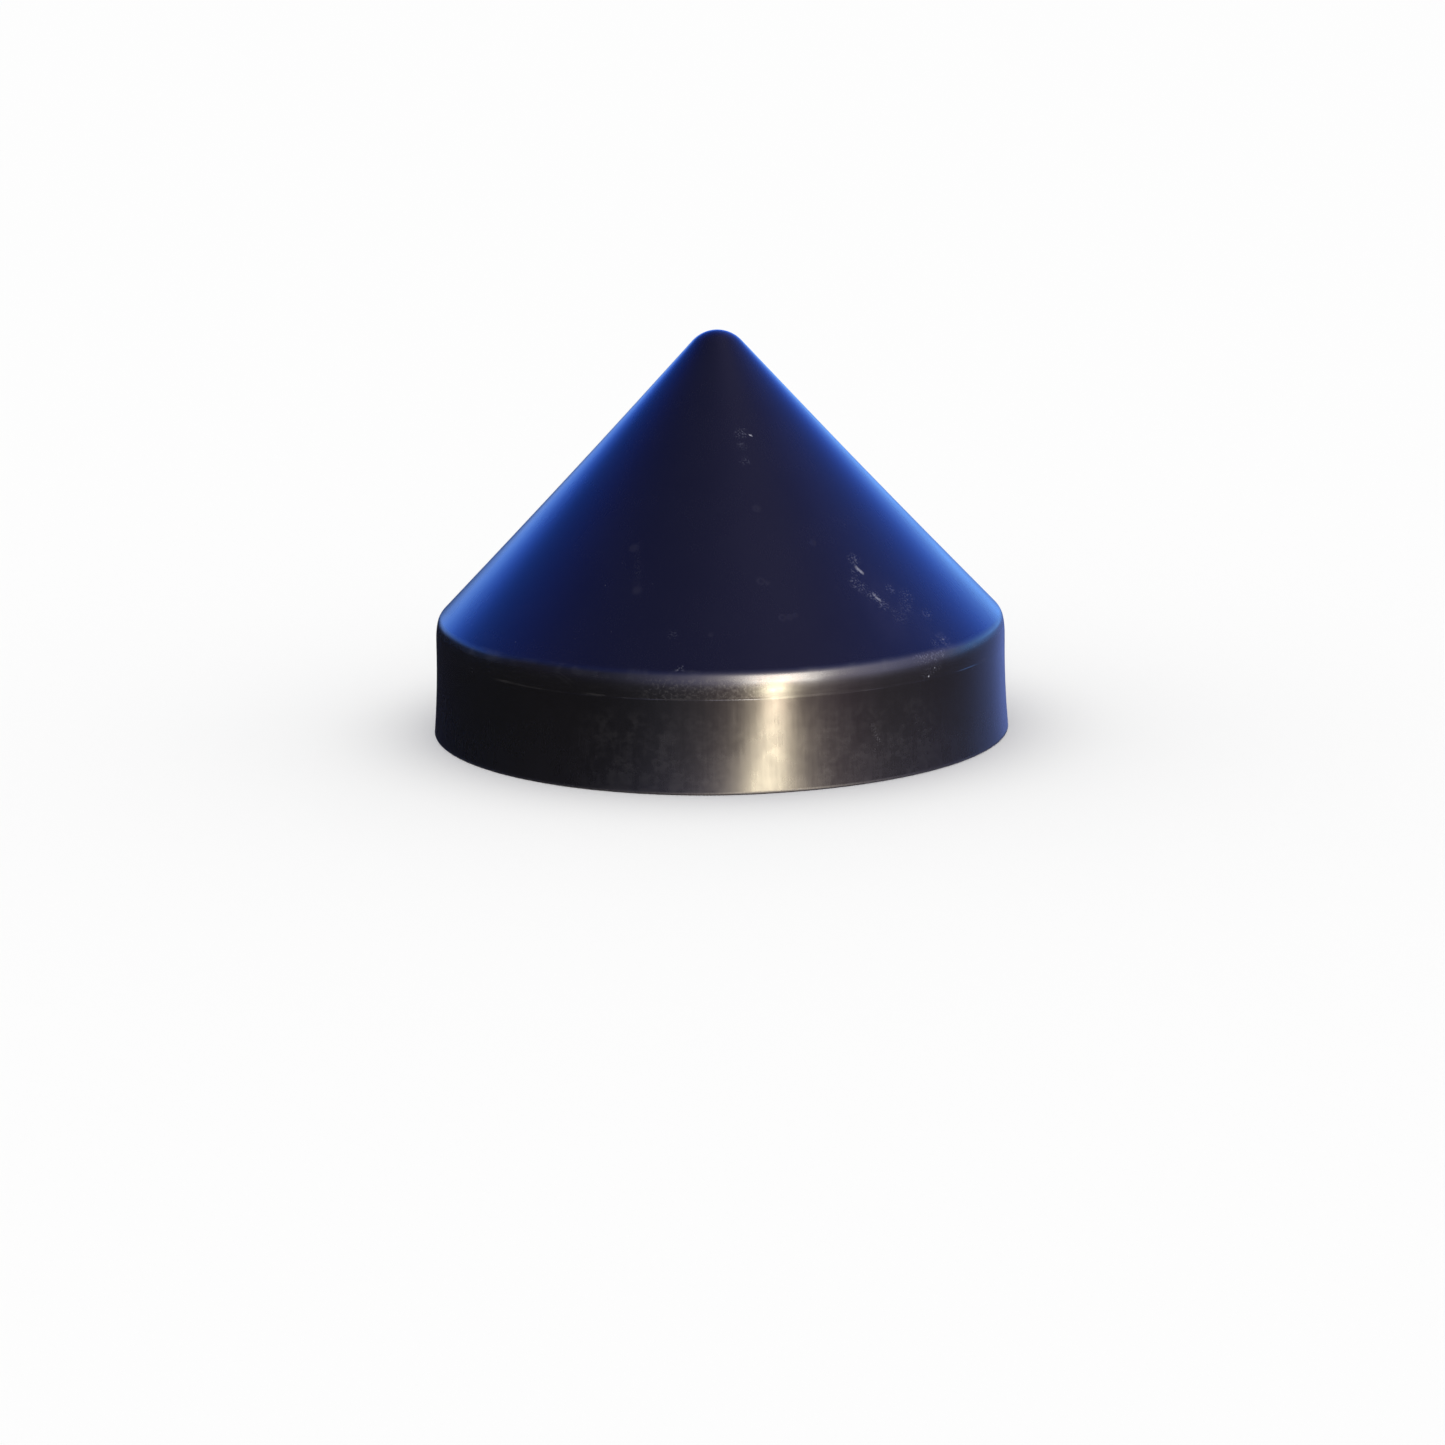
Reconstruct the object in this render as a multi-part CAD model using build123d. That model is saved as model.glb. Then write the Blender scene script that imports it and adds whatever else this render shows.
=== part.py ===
from build123d import *
import math
import os

# Cone-head cap for a round fence post or piling.
# Frame: origin at the centre of the mouth's rim plane, +Z up along the cap's axis, millimetres.
# The cap is one thermoformed shell, with a bead of adhesive sealant run round the underside of its cone.

# ---- driving dimensions -------------------------------------------------
RIM_R = 132.0          # outside radius of the skirt at the mouth, z = 0
EAVE_R = 130.0         # outside radius where the skirt's upright part and the cone would meet
EAVE_Z = 51.2          # height of that meeting circle
CONE_HALF_ANGLE = 43.4 # half angle of the cone, from the axis, degrees
TIP_R = 15.1           # outside radius of the rounded tip
EAVE_FILLET = 7.0      # outside rounding of the eave
WALL = 3.0             # wall of the cone and the eave, square to the surface

SOCKET_R = 127.0       # straight land of the socket, for a post of up to 254 mm
LAND_LENGTH = 22.0     # length of that land, up to the inside rounding of the eave
MOUTH_IN_R = 128.8     # inside radius at the mouth, where the draft below the land ends
RIM_EDGE = 0.5         # edge break of the trimmed rim

LINE_Z = 41.0          # bottom edge of the witness line's groove; the skirt flares below it
LINE_W = 0.9           # width of the groove
LINE_D = 0.30          # depth of the groove
LINE_LEDGE = 0.15      # height of the groove's lower side, which is nearly level; its upper side slopes out again
STRIP_STEP = 0.12      # the strip above the line stands this much inside the skirt below it

BEAD_R = 117.0         # radius at which the middle of the bead lies on the cone's underside
BEAD_HALF = 4.5        # half its width along the cone's underside
BEAD_H = 5.0           # how far it stands off the underside

os.makedirs("parts", exist_ok=True)

a = math.radians(CONE_HALF_ANGLE)
N = (math.cos(a), math.sin(a))     # outward normal of the cone in the (r, z) half plane
U = (-math.sin(a), math.cos(a))    # direction up the cone's slope


FLARE_R = (LINE_Z**2 + (RIM_R - EAVE_R) ** 2) / (2 * (RIM_R - EAVE_R))


def skirt_r(z):
    """Outside radius of the skirt: upright at the witness line, flaring on a large arc down to the rim."""
    down = max(LINE_Z - z, 0.0)
    return EAVE_R + FLARE_R - math.sqrt(FLARE_R**2 - down**2)


def rounded(p0, p1, p2, radius):
    """Start, middle and end of the arc that rounds corner p1 between p0 and p2."""
    d1 = (p0[0] - p1[0], p0[1] - p1[1])
    d2 = (p2[0] - p1[0], p2[1] - p1[1])
    l1, l2 = math.hypot(*d1), math.hypot(*d2)
    d1 = (d1[0] / l1, d1[1] / l1)
    d2 = (d2[0] / l2, d2[1] / l2)
    ang = math.acos(d1[0] * d2[0] + d1[1] * d2[1])
    t = radius / math.tan(ang / 2)
    b = (d1[0] + d2[0], d1[1] + d2[1])
    lb = math.hypot(*b)
    b = (b[0] / lb, b[1] / lb)
    reach = radius / math.sin(ang / 2)
    c = (p1[0] + b[0] * reach, p1[1] + b[1] * reach)
    return (
        (p1[0] + d1[0] * t, p1[1] + d1[1] * t),
        (c[0] - b[0] * radius, c[1] - b[1] * radius),
        (p1[0] + d2[0] * t, p1[1] + d2[1] * t),
    )


def tip(apex_z, radius):
    """Ball that ends a cone whose sharp apex is at apex_z: tangent point, middle of the arc, top."""
    centre = apex_z - radius / math.sin(a)
    m = (a + math.pi / 2) / 2
    return (
        (radius * math.cos(a), centre + radius * math.sin(a)),
        (radius * math.cos(m), centre + radius * math.sin(m)),
        (0.0, centre + radius),
    )


# ---- outside line, from the rim to the tip ------------------------------
apex_z = EAVE_Z + EAVE_R / math.tan(a)
tip_out = tip(apex_z, TIP_R)
line_low = (skirt_r(LINE_Z), LINE_Z)
line_root = (skirt_r(LINE_Z) - LINE_D, LINE_Z + LINE_LEDGE)
line_high = (skirt_r(LINE_Z + LINE_W) - STRIP_STEP, LINE_Z + LINE_W)
eave = rounded(line_high, (EAVE_R - STRIP_STEP, EAVE_Z + STRIP_STEP / math.tan(a)), (0.0, apex_z), EAVE_FILLET)

# ---- inside line --------------------------------------------------------


def under_z(r):
    """Height of the cone's underside at radius r."""
    return EAVE_Z + (EAVE_R - r) / math.tan(a) - WALL / math.sin(a)


in_apex_z = under_z(0.0)
tip_in = tip(in_apex_z, TIP_R - WALL)
shoulder = rounded((SOCKET_R, 0.0), (SOCKET_R, under_z(SOCKET_R)), (0.0, in_apex_z), EAVE_FILLET - WALL)
land_z1 = shoulder[0][1]
land_z0 = land_z1 - LAND_LENGTH

with BuildPart() as shell_build:
    with BuildSketch(Plane.XZ):
        with BuildLine():
            # trimmed rim, with its edges broken
            Line((MOUTH_IN_R + RIM_EDGE, 0), (RIM_R - RIM_EDGE, 0))
            Line((RIM_R - RIM_EDGE, 0), (skirt_r(RIM_EDGE), RIM_EDGE))
            # flared skirt, the groove of the witness line, and the strip above it
            ThreePointArc((skirt_r(RIM_EDGE), RIM_EDGE), (skirt_r(LINE_Z / 2), LINE_Z / 2), line_low)
            Line(line_low, line_root)
            Line(line_root, line_high)
            Line(line_high, eave[0])
            ThreePointArc(*eave)
            # cone and rounded tip
            Line(eave[2], tip_out[0])
            ThreePointArc(*tip_out)
            Line(tip_out[2], tip_in[2])
            # underside of the tip and of the cone
            ThreePointArc(tip_in[2], tip_in[1], tip_in[0])
            Line(tip_in[0], shoulder[2])
            ThreePointArc(shoulder[2], shoulder[1], shoulder[0])
            # straight land of the socket, then the draft that opens it to the mouth
            Line(shoulder[0], (SOCKET_R, land_z0))
            Line((SOCKET_R, land_z0), (MOUTH_IN_R, RIM_EDGE))
            Line((MOUTH_IN_R, RIM_EDGE), (MOUTH_IN_R + RIM_EDGE, 0))
        make_face()
    revolve(axis=Axis.Z)

# ---- sealant bead: flat on the cone's underside, round on its free side ----


def off_underside(along, stand_off):
    """Point on the underside, moved up the slope and then square to it into the hollow."""
    return (
        BEAD_R + U[0] * along - N[0] * stand_off,
        under_z(BEAD_R) + U[1] * along - N[1] * stand_off,
    )


with BuildPart() as bead_build:
    with BuildSketch(Plane.XZ):
        with BuildLine():
            Line(off_underside(-BEAD_HALF, 0), off_underside(BEAD_HALF, 0))
            ThreePointArc(off_underside(BEAD_HALF, 0), off_underside(0, BEAD_H), off_underside(-BEAD_HALF, 0))
        make_face()
    revolve(axis=Axis.Z)

# ---- write --------------------------------------------------------------
for name, build in (("cap_shell", shell_build), ("sealant_bead", bead_build)):
    solids = build.part.solids()
    assert len(solids) == 1 and solids[0].is_valid, name
    solids[0].label = name
    export_step(solids[0], os.path.join("parts", name + ".step"))
    print(name, "volume %.1f" % solids[0].volume)

print("flare radius %.1f, outside at mid skirt %.2f" % (FLARE_R, skirt_r(LINE_Z / 2)))
print("height %.2f, under the tip %.2f" % (tip_out[2][1], tip_in[2][1]))
print("land %.3f to %.3f, underside cone starts at r %.2f z %.2f" % (land_z0, land_z1, *shoulder[2]))
print("eave arc", [tuple(round(v, 2) for v in p) for p in eave])
print("bead low %.2f,%.2f high %.2f,%.2f crown %.2f,%.2f" % (
    *off_underside(-BEAD_HALF, 0), *off_underside(BEAD_HALF, 0), *off_underside(0, BEAD_H)))
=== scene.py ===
import math

import bpy
import numpy as np
from mathutils import Matrix, Vector


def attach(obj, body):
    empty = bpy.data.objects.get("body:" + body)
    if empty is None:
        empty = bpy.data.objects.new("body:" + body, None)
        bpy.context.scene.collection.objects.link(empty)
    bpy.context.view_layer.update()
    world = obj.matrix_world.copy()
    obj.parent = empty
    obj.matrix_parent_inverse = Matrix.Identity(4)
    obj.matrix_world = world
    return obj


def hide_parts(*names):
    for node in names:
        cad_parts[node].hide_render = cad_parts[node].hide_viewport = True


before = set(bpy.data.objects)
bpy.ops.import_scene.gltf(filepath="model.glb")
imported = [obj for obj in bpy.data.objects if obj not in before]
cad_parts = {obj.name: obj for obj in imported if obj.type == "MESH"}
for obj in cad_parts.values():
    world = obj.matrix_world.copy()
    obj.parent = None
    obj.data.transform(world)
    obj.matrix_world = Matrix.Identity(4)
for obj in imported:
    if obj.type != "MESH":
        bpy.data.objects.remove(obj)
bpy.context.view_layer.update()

# Cone-head cap for a round post. Everything is in the row frame, in metres: the origin is at the
# centre of the mouth, +Z is up. Lengths named in capitals are in millimetres, as in the design.

scene = bpy.context.scene
MM = 0.001


# ---- camera -------------------------------------------------------------
def make_camera():
    stand, rise, look_at_z = 1500.0, 10.391, 80.0
    pitch, yaw, roll = math.radians(13.345), math.radians(0.019), math.radians(-0.672)
    e = math.radians(rise)
    place = Vector((0.0, -stand * math.cos(e), look_at_z + stand * math.sin(e))) * MM
    forward = Vector((math.sin(yaw) * math.cos(pitch), math.cos(yaw) * math.cos(pitch), -math.sin(pitch)))
    right = Vector((math.cos(yaw), -math.sin(yaw), 0.0))
    up = right.cross(forward)
    x = right * math.cos(roll) + up * math.sin(roll)
    y = -right * math.sin(roll) + up * math.cos(roll)
    data = bpy.data.cameras.new("camera")
    data.sensor_fit = "AUTO"
    data.sensor_width = 36.0
    data.lens = 3285.6 / 1445.0 * 36.0
    data.clip_start, data.clip_end = 0.05, 400.0
    data.dof.use_dof = False
    cam = bpy.data.objects.new("camera", data)
    scene.collection.objects.link(cam)
    m = Matrix((x, y, -forward)).transposed().to_4x4()
    m.translation = place
    cam.matrix_world = m
    scene.camera = cam
    return cam


camera = make_camera()
scene.view_settings.view_transform = "Standard"
scene.view_settings.look = "None"
scene.view_settings.exposure = 0.0
scene.view_settings.gamma = 1.0


# ---- the design's section, as in the CAD source --------------------------
RIM_R, EAVE_R, EAVE_Z, HALF = 132.0, 130.0, 51.2, 43.4
TIP_R, EAVE_FILLET, WALL = 15.1, 7.0, 3.0
SOCKET_R, LAND_LENGTH, MOUTH_IN_R, RIM_EDGE = 127.0, 22.0, 128.8, 0.5
LINE_Z, LINE_W, LINE_D, STRIP_STEP = 41.0, 0.9, 0.30, 0.03
BEAD_R, BEAD_HALF, BEAD_H = 117.0, 4.5, 5.0
STRIP_LEAN, EAVE_TURN_R, CONE_BOW = 14.0, 7.0, 0.55

A = math.radians(HALF)
TAN = math.tan(A)
APEX_Z = EAVE_Z + EAVE_R / TAN
FLARE_R = (LINE_Z**2 + (RIM_R - EAVE_R) ** 2) / (2 * (RIM_R - EAVE_R))
NORMAL = np.array((math.cos(A), math.sin(A)))
SLOPE = np.array((-math.sin(A), math.cos(A)))


def skirt_r(z):
    down = max(LINE_Z - z, 0.0)
    return EAVE_R + FLARE_R - math.sqrt(FLARE_R**2 - down**2)


def under_z(r):
    return EAVE_Z + (EAVE_R - r) / TAN - WALL / math.sin(A)


IN_APEX_Z = under_z(0.0)


def rounded(p0, p1, p2, radius, n):
    """Points on the arc that rounds corner p1 between p0 and p2, ends included."""
    p0, p1, p2 = (np.array(p, float) for p in (p0, p1, p2))
    d1 = (p0 - p1) / np.linalg.norm(p0 - p1)
    d2 = (p2 - p1) / np.linalg.norm(p2 - p1)
    half = math.acos(float(d1 @ d2)) / 2
    b = (d1 + d2) / np.linalg.norm(d1 + d2)
    c = p1 + b * radius / math.sin(half)
    s = p1 + d1 * radius / math.tan(half)
    e = p1 + d2 * radius / math.tan(half)
    a0 = math.atan2(*(s - c)[::-1])
    a1 = math.atan2(*(e - c)[::-1])
    if a1 - a0 > math.pi:
        a1 -= 2 * math.pi
    if a0 - a1 > math.pi:
        a1 += 2 * math.pi
    return [(c[0] + radius * math.cos(t), c[1] + radius * math.sin(t)) for t in np.linspace(a0, a1, n)]


def tip_arc(apex_z, radius, n):
    """Points of a ball tip, from its tangent to the cone up to just short of the pole, and the pole's height."""
    centre = apex_z - radius / math.sin(A)
    angles = np.linspace(A, math.pi / 2, n)
    return [(radius * math.cos(t), centre + radius * math.sin(t)) for t in angles[:-1]], centre + radius


def between(p, q, n):
    """n points after p up to and including q, evenly spaced."""
    return [(p[0] + (q[0] - p[0]) * k / n, p[1] + (q[1] - p[1]) * k / n) for k in range(1, n + 1)]


def eave_rows(r0, z0):
    """The strip above the witness line leans in more and more, then turns over tightly on to the cone."""
    lean = math.radians(STRIP_LEAN)

    def walk(length):
        r, z, rows = r0, z0, []
        for k in range(48):
            t = lean * ((k + 0.5) / 48) ** 1.5
            r, z = r - math.sin(t) * length / 48, z + math.cos(t) * length / 48
            if k % 4 == 3:
                rows.append((r, z))
        turn = EAVE_TURN_R * (A - lean) / 36
        for k in range(36):
            t = lean + (A - lean) * (k + 0.5) / 36
            r, z = r - math.sin(t) * turn, z + math.cos(t) * turn
            if k % 3 == 2:
                rows.append((r, z))
        return rows

    lo, hi = 2.0, 14.0
    for _ in range(50):
        mid = (lo + hi) / 2
        r, z = walk(mid)[-1]
        if z < EAVE_Z + (EAVE_R - r) / TAN:
            lo = mid
        else:
            hi = mid
    return walk((lo + hi) / 2)


# witness line, row by row: height, share of the step in to the strip above, share of the groove's depth
LINE_ROWS = [
    (40.72, 0.0, 0.0), (40.88, 0.02, 0.05), (41.00, 0.08, 0.40), (41.10, 0.16, 0.90), (41.20, 0.26, 1.0),
    (41.34, 0.42, 0.82), (41.52, 0.64, 0.36), (41.74, 0.85, 0.08), (41.96, 0.96, 0.01), (42.25, 1.0, 0.0),
]


def outside_rows():
    """(r, z) rows from the middle of the rim, out and up to just short of the tip's pole."""
    rows = [(130.4, 0.0), (131.0, 0.0), (131.4, 0.03)]
    rows += rounded((129.0, 0.0), (skirt_r(0.0) - 0.02, 0.0), (skirt_r(3.0), 3.0), 0.42, 6)
    z = rows[-1][1]
    for k in range(1, 35):
        zz = z + (40.35 - z) * k / 34
        rows.append((skirt_r(zz), zz))
    rows += [(skirt_r(z) - STRIP_STEP * step - LINE_D * deep, z) for z, step, deep in LINE_ROWS]
    rows += eave_rows(*rows[-1])
    tip, pole = tip_arc(APEX_Z, TIP_R, 15)
    rows += between(rows[-1], tip[0], 84) + tip[1:]
    return rows, pole


def inside_rows():
    """(r, z) rows from just short of the underside's pole, down to the middle of the rim."""
    tip, pole = tip_arc(IN_APEX_Z, TIP_R - WALL, 12)
    rows = tip[::-1]
    shoulder = rounded((SOCKET_R, 0.0), (SOCKET_R, under_z(SOCKET_R)), (0.0, IN_APEX_Z), EAVE_FILLET - WALL, 9)[::-1]
    rows += between(rows[-1], shoulder[0], 60) + shoulder[1:]
    land_low = (SOCKET_R, shoulder[-1][1] - LAND_LENGTH)
    rows += between(rows[-1], land_low, 12)
    rows += between(rows[-1], (MOUTH_IN_R, RIM_EDGE + 0.1), 14)
    rows += [(MOUTH_IN_R + 0.06, 0.32), (MOUTH_IN_R + 0.2, 0.14), (MOUTH_IN_R + 0.42, 0.02), (129.7, 0.0)]
    return rows, pole


# ---- small irregularities of a formed sheet ------------------------------
def waves(seed, count, lowest, highest):
    """Fixed sum of sine terms in the angle and the height: (terms, sum of sizes)."""
    rng = np.random.default_rng(seed)
    terms = []
    for _ in range(count):
        k = int(rng.integers(lowest, highest + 1))
        terms.append((k, rng.uniform(-0.05, 0.05), rng.uniform(0, 2 * math.pi), 1.0 / (1.0 + k * 0.25)))
    return terms, sum(t[3] for t in terms)


WAVE = waves(11, 9, 2, 9)
RIPPLE = waves(23, 14, 11, 34)
RIM_WAVE = waves(5, 8, 2, 12)
LINE_WAVE = waves(7, 8, 3, 24)
LINE_DEPTH = waves(41, 12, 5, 60)


def value(wave, phi, z):
    """The sum at this angle and height, scaled to stay within 0 to 1."""
    total = np.zeros_like(phi)
    for k, m, p, s in wave[0]:
        total += s * np.sin(k * phi + m * z + p)
    return 0.5 + 0.5 * total / wave[1]


def azimuth(phi):
    """Degrees round the cap: 0 in front, 90 at the right, -90 at the left."""
    return np.degrees((phi + 1.5 * math.pi) % (2 * math.pi) - math.pi)


def bump_of(x, lo, hi, soft):
    """1 from lo to hi, easing to 0 over soft outside."""
    a = np.clip((x - lo + soft) / soft, 0.0, 1.0)
    b = np.clip((hi + soft - x) / soft, 0.0, 1.0)
    return a * a * (3 - 2 * a) * b * b * (3 - 2 * b)


def out_of_round(phi, z):
    """The mouth is a little out of round: its wall eases inward just right of the front, and slowly out again, in mm."""
    az = azimuth(phi)
    down = (max(41.0 - z, 0.0) / 41.0) ** 1.2
    back = np.clip((az - 24.0) / 62.0, 0.0, 1.0)
    return 1.50 * down * 0.5 * (1 + np.tanh(1.2 * (az - 6.0) / 9.0)) * (1 - back * back * (3 - 2 * back))


def sink(phi, z):
    """How far the wall lies inside its design surface, in mm. It is never outside it."""
    fade = min(max((APEX_Z - z) / 60.0, 0.0), 1.0)
    up = min(max((z - EAVE_Z - 2.2) / (APEX_Z - 12.0 - EAVE_Z - 2.2), 0.0), 1.0)
    bow = CONE_BOW * math.sin(math.pi * up)   # the cone sags in a little between its edge and its tip
    return bow + out_of_round(phi, z) + fade * (0.16 * value(WAVE, phi, z) + 0.035 * value(RIPPLE, phi, z * 0.6))


def row_normals(rows, pole, outward_first):
    """Outward direction of each row in the (r, z) half plane, square to the section's line."""
    pts = np.array(rows + [(0.0, pole)] if outward_first else [(0.0, pole)] + rows)
    d = np.gradient(pts, axis=0)
    d /= np.linalg.norm(d, axis=1)[:, None]
    n = np.stack([d[:, 1], -d[:, 0]], 1)
    return n[:-1] if outward_first else -n[1:]


def segments_at(r):
    for limit, n in ((52.0, 384), (24.0, 192), (11.0, 96), (4.5, 48)):
        if r >= limit:
            return n
    return 24


def ring(r, z, n, push, inside):
    """One ring of points, in metres, with the irregularities worked in. push is the direction out of the wall."""
    phi = np.arange(n) * (2 * math.pi / n)
    d = sink(phi, z)
    rr = r - push[0] * d
    zz = np.full(n, float(z)) - push[1] * d
    if z < 3.0:   # the rim is trimmed a little unevenly
        zz = z + (0.30 * value(RIM_WAVE, phi, 0.0)) * (1 - z / 3.0)
        rr = r - d
    if 40.7 < z < 42.2 and not inside:   # the witness line is worn shallow, fades out and comes back, and wanders
        az = azimuth(phi)
        kept = 0.02 + 0.10 * bump_of(az, -33.0, -20.0, 6.0) + 0.13 * bump_of(az, -16.0, 7.0, 3.0)
        kept += 0.05 * bump_of(az, 30.0, 46.0, 8.0) + 0.16 * bump_of(az, 53.0, 65.0, 5.0)
        kept += 0.18 * (1 - bump_of(az, -95.0, 85.0, 20.0))
        kept *= np.clip(3.2 * value(LINE_DEPTH, phi, 0.0) - 0.9, 0.0, 1.6)
        deep = LINE_D * np.interp(z, [row[0] for row in LINE_ROWS], [row[2] for row in LINE_ROWS])
        rr = r - d + deep * (1 - kept)
        zz = zz + 0.16 * (value(LINE_WAVE, phi, 0.0) - 0.5) * min(1.0, 2 * (z - 40.7), 2 * (42.25 - z))
    return np.stack([rr * np.cos(phi), rr * np.sin(phi), zz], 1) * MM


def stitch(faces, lo, hi):
    """Faces between two rings given as (first index, count), the second following the first."""
    i0, n0 = lo
    i1, n1 = hi
    if n0 == n1:
        for k in range(n0):
            m = (k + 1) % n0
            faces.append((i0 + k, i0 + m, i1 + m, i1 + k))
    elif n0 == 2 * n1:
        for k in range(n1):
            m, a, b, c = (k + 1) % n1, 2 * k, 2 * k + 1, (2 * k + 2) % n0
            faces += [(i0 + a, i0 + b, i1 + k), (i0 + b, i1 + m, i1 + k), (i0 + b, i0 + c, i1 + m)]
    elif n1 == 2 * n0:
        for k in range(n0):
            m, a, b, c = (k + 1) % n0, 2 * k, 2 * k + 1, (2 * k + 2) % n1
            faces += [(i1 + b, i1 + a, i0 + k), (i0 + m, i1 + b, i0 + k), (i1 + c, i1 + b, i0 + m)]
    else:
        raise ValueError("rings %d and %d do not match" % (n0, n1))


def make_shell():
    out_rows, out_pole = outside_rows()
    in_rows, in_pole = inside_rows()
    out_push = row_normals(out_rows, out_pole, True)
    in_push = -row_normals(in_rows, in_pole, False)
    verts, faces, inner, start = [], [], [], 0
    rings = []

    def add(points, side):
        nonlocal start
        verts.append(points)
        inner.append(np.full(len(points), side))
        rings.append((start, len(points)))
        start += len(points)

    for (r, z), push in zip(out_rows, out_push):
        add(ring(r, z, segments_at(r), push, False), 0.0)
    add(np.array([[0.0, 0.0, out_pole * MM]]), 0.0)
    pole_out = len(rings) - 1
    add(np.array([[0.0, 0.0, in_pole * MM]]), 1.0)
    for (r, z), push in zip(in_rows, in_push):
        add(ring(r, z, segments_at(r), -push, True), 1.0)
    last = len(rings) - 1

    for k in range(pole_out - 1):
        stitch(faces, rings[k], rings[k + 1])
    i, n = rings[pole_out - 1]
    top = rings[pole_out][0]
    faces += [(i + k, i + (k + 1) % n, top) for k in range(n)]
    i, n = rings[pole_out + 2]
    under = rings[pole_out + 1][0]
    faces += [(under, i + (k + 1) % n, i + k) for k in range(n)]
    for k in range(pole_out + 2, last):
        lo, hi = rings[k], rings[k + 1]
        stitch(faces, lo, hi)
    stitch(faces, rings[last], rings[0])

    co = np.concatenate(verts)
    mesh = bpy.data.meshes.new("cap_shell_formed")
    mesh.from_pydata(co.tolist(), [], faces)
    mesh.update()
    mesh.shade_smooth()
    side = mesh.attributes.new("inner_side", "FLOAT", "POINT")
    side.data.foreach_set("value", np.concatenate(inner).astype(np.float32))
    obj = bpy.data.objects.new("cap_shell_formed", mesh)
    scene.collection.objects.link(obj)
    return obj


def make_bead():
    """A run of adhesive sealant laid round the cone's underside by hand: it swells, thins, and overlaps itself at its end."""
    rng = np.random.default_rng(19)
    n, m = 360, 22
    swell, drift, flat = waves(61, 10, 3, 40), waves(67, 8, 2, 14), waves(71, 8, 5, 30)
    phi = np.arange(n) * (2 * math.pi / n)
    s, w, f = value(swell, phi, 0), value(drift, phi, 0), value(flat, phi, 0)
    join = np.exp(-(((phi - 4.0 + math.pi) % (2 * math.pi) - math.pi) / 0.035) ** 2)
    neck = np.exp(-(((phi - 4.09 + math.pi) % (2 * math.pi) - math.pi) / 0.02) ** 2)
    half = BEAD_HALF * (0.80 + 0.17 * s + 0.05 * join - 0.12 * neck)
    high = BEAD_H * (0.72 + 0.22 * f + 0.10 * join - 0.14 * neck)
    along0 = (w - 0.5) * 1.2
    verts = []
    t = np.linspace(0.0, math.pi, m)
    fine = rng.uniform(-0.035, 0.035, (n, m))
    for _ in range(2):
        fine = (fine + np.roll(fine, 1, 0) + np.roll(fine, -1, 0)) / 3
    for j in range(n):
        d = sink(np.array([phi[j]]), EAVE_Z + 8.0)[0]
        for k in range(m):
            along = along0[j] - half[j] * math.cos(t[k])
            off = high[j] * max(math.sin(t[k]), 0.0) ** 0.85 * (1 + fine[j, k]) + d
            if k in (0, m - 1):
                off = d - 0.15
            r = BEAD_R + SLOPE[0] * along - NORMAL[0] * off
            z = under_z(BEAD_R) + SLOPE[1] * along - NORMAL[1] * off
            verts.append((r * math.cos(phi[j]) * MM, r * math.sin(phi[j]) * MM, z * MM))
    faces = []
    for j in range(n):
        b = ((j + 1) % n) * m
        a = j * m
        for k in range(m):
            k2 = (k + 1) % m
            faces.append((a + k, a + k2, b + k2, b + k))
    mesh = bpy.data.meshes.new("sealant_bead_run")
    mesh.from_pydata(verts, [], faces)
    mesh.update()
    mesh.shade_smooth()
    obj = bpy.data.objects.new("sealant_bead_run", mesh)
    scene.collection.objects.link(obj)
    return obj


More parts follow.
